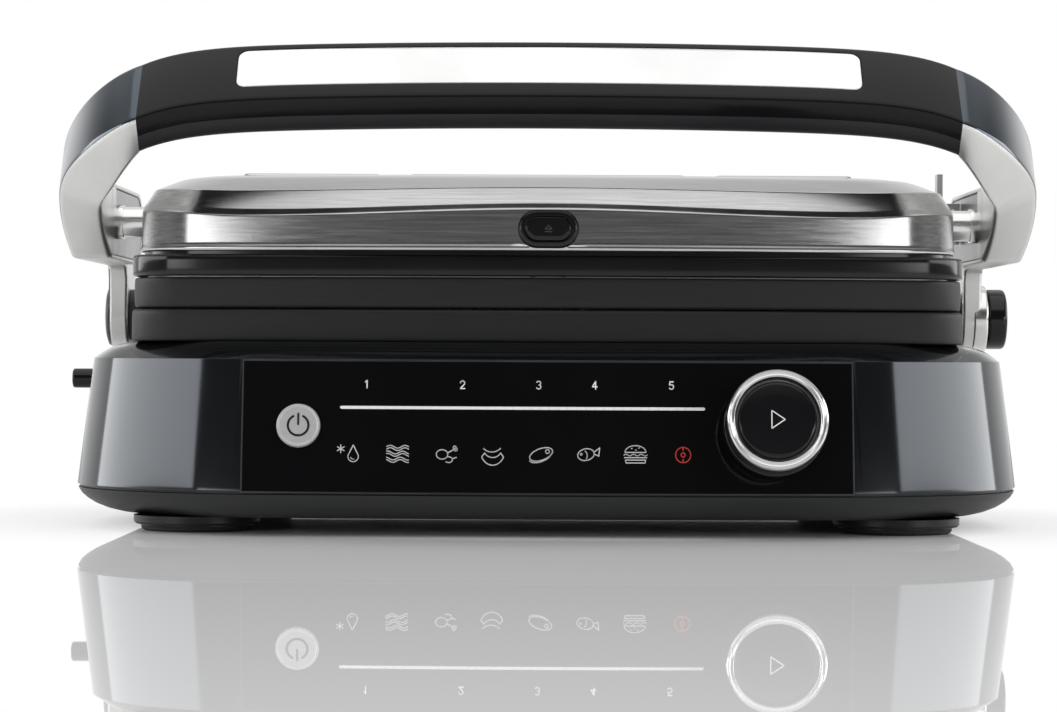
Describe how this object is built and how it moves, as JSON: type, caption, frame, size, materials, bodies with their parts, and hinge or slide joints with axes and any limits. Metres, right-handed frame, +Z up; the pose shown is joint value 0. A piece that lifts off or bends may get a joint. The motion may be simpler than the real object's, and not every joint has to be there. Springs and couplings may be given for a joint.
{
  "type": "contact grill",
  "caption": "Electric indoor contact grill: ribbed plates in a hinged steel lid on swing arms over a black base with a turning knob and a rear drip tray.",
  "frame": {"origin": "centre of the whole part's footprint, on the table surface under the foot pads", "axes": "+X to the right as the cook sees it, -Y towards the cook (the control panel), +Z up"},
  "size_m": [0.4178, 0.3074, 0.1919],
  "materials": {
    "housing_black": "gloss",
    "tray_dark": "satin",
    "pad_rubber": "matte",
    "panel_black": "gloss",
    "trim_light": "satin",
    "board_green": "satin",
    "inner_metal": "satin",
    "heater_steel": "satin",
    "terminal_cream": "matte",
    "plate_coating": "matte",
    "bracket_dark": "satin",
    "satin_silver": "satin",
    "bright_chrome": "polished",
    "knob_black": "gloss",
    "arm_silver": "satin",
    "cover_dark": "satin",
    "grip_black": "satin",
    "lid_steel": "brushed"
  },
  "bodies": {
    "base": {"base_housing": "housing_black", "base_bottom": "tray_dark", "control_panel": "panel_black", "panel_trim": "trim_light", "control_board": "board_green", "encoder_body": "inner_metal", "power_board": "board_green", "terminal_block": "terminal_cream", "lower_pan": "inner_metal", "lower_plate": "plate_coating", "lower_heater": "heater_steel", "lower_sensor": "inner_metal", "feet": "tray_dark", "foot_pads": "pad_rubber", "hinge_bracket_left": "bracket_dark", "hinge_bracket_right": "bracket_dark", "hinge_pin_left": "inner_metal", "hinge_pin_right": "inner_metal", "cord_gland": "pad_rubber", "base_screws": "inner_metal", "bracket_screws": "inner_metal", "tray_runners": "tray_dark"},
    "drip_tray": {"drip_tray": "tray_dark"},
    "power_button": {"power_button": "satin_silver"},
    "knob": {"knob_body": "knob_black", "knob_ring": "bright_chrome"},
    "start_button": {"start_button": "knob_black"},
    "lower_release": {"lower_release_button": "knob_black", "lower_latch": "inner_metal"},
    "arms": {"arm_left": "arm_silver", "arm_right": "arm_silver", "arm_cover_left": "cover_dark", "arm_cover_right": "cover_dark", "grip_upper": "grip_black", "grip_lower": "grip_black", "grip_inlay": "trim_light", "pivot_pin_left": "bright_chrome", "pivot_pin_right": "bright_chrome", "hinge_cap_left": "cover_dark", "hinge_collar": "bright_chrome", "grip_screws": "inner_metal", "lock_pin": "inner_metal"},
    "hinge_knob": {"hinge_knob": "knob_black"},
    "lock_lever": {"lock_lever": "inner_metal"},
    "lid": {"lid_cover": "lid_steel", "lid_skirt": "housing_black", "lid_pan": "inner_metal", "upper_plate": "plate_coating", "upper_heater": "heater_steel", "upper_sensor": "inner_metal", "pivot_bushes": "tray_dark", "release_bezel": "knob_black", "lid_screws": "inner_metal"},
    "lid_release": {"lid_release_button": "knob_black", "upper_latch": "inner_metal"}
  },
  "joints": [
    {"name": "arm_hinge", "type": "hinge", "parent": "base", "child": "arms", "pos_m": [0, 0.13679, 0.0875], "axis": [-1, 0, 0], "range_deg": [0, 175]},
    {"name": "lid_float", "type": "hinge", "parent": "arms", "child": "lid", "pos_m": [0, 0.01879, 0.1259], "axis": [-1, 0, 0], "range_deg": [0, 5]},
    {"name": "knob_turn", "type": "hinge", "parent": "base", "child": "knob", "pos_m": [0.0824, -0.1278, 0.0423], "axis": [0, -0.9849, 0.1731], "continuous": true},
    {"name": "start_push", "type": "slide", "parent": "knob", "child": "start_button", "axis": [0, 0.9849, -0.1731], "range_m": [0, 0.0012], "stiffness_N_per_m": 1200},
    {"name": "power_push", "type": "slide", "parent": "base", "child": "power_button", "axis": [0, 0.9849, -0.1731], "range_m": [0, 0.0012], "stiffness_N_per_m": 1200},
    {"name": "lower_release_push", "type": "slide", "parent": "base", "child": "lower_release", "axis": [1, 0, 0], "range_m": [0, 0.0025], "stiffness_N_per_m": 800},
    {"name": "lid_release_push", "type": "slide", "parent": "lid", "child": "lid_release", "axis": [0, 1, 0], "range_m": [0, 0.0025], "stiffness_N_per_m": 800},
    {"name": "hinge_knob_pull", "type": "slide", "parent": "arms", "child": "hinge_knob", "axis": [1, 0, 0], "range_m": [0, 0.005], "stiffness_N_per_m": 600},
    {"name": "drip_tray_slide", "type": "slide", "parent": "base", "child": "drip_tray", "axis": [0, 1, 0], "range_m": [0, 0.055]},
    {"name": "lock_lever_turn", "type": "hinge", "parent": "arms", "child": "lock_lever", "pos_m": [0, 0.07379, 0.1259], "axis": [-1, 0, 0], "range_deg": [0, 25]}
  ],
  "couplings": [
    {"joint": "lid_float", "follows": "arm_hinge", "ratio": 0.028571}
  ]
}
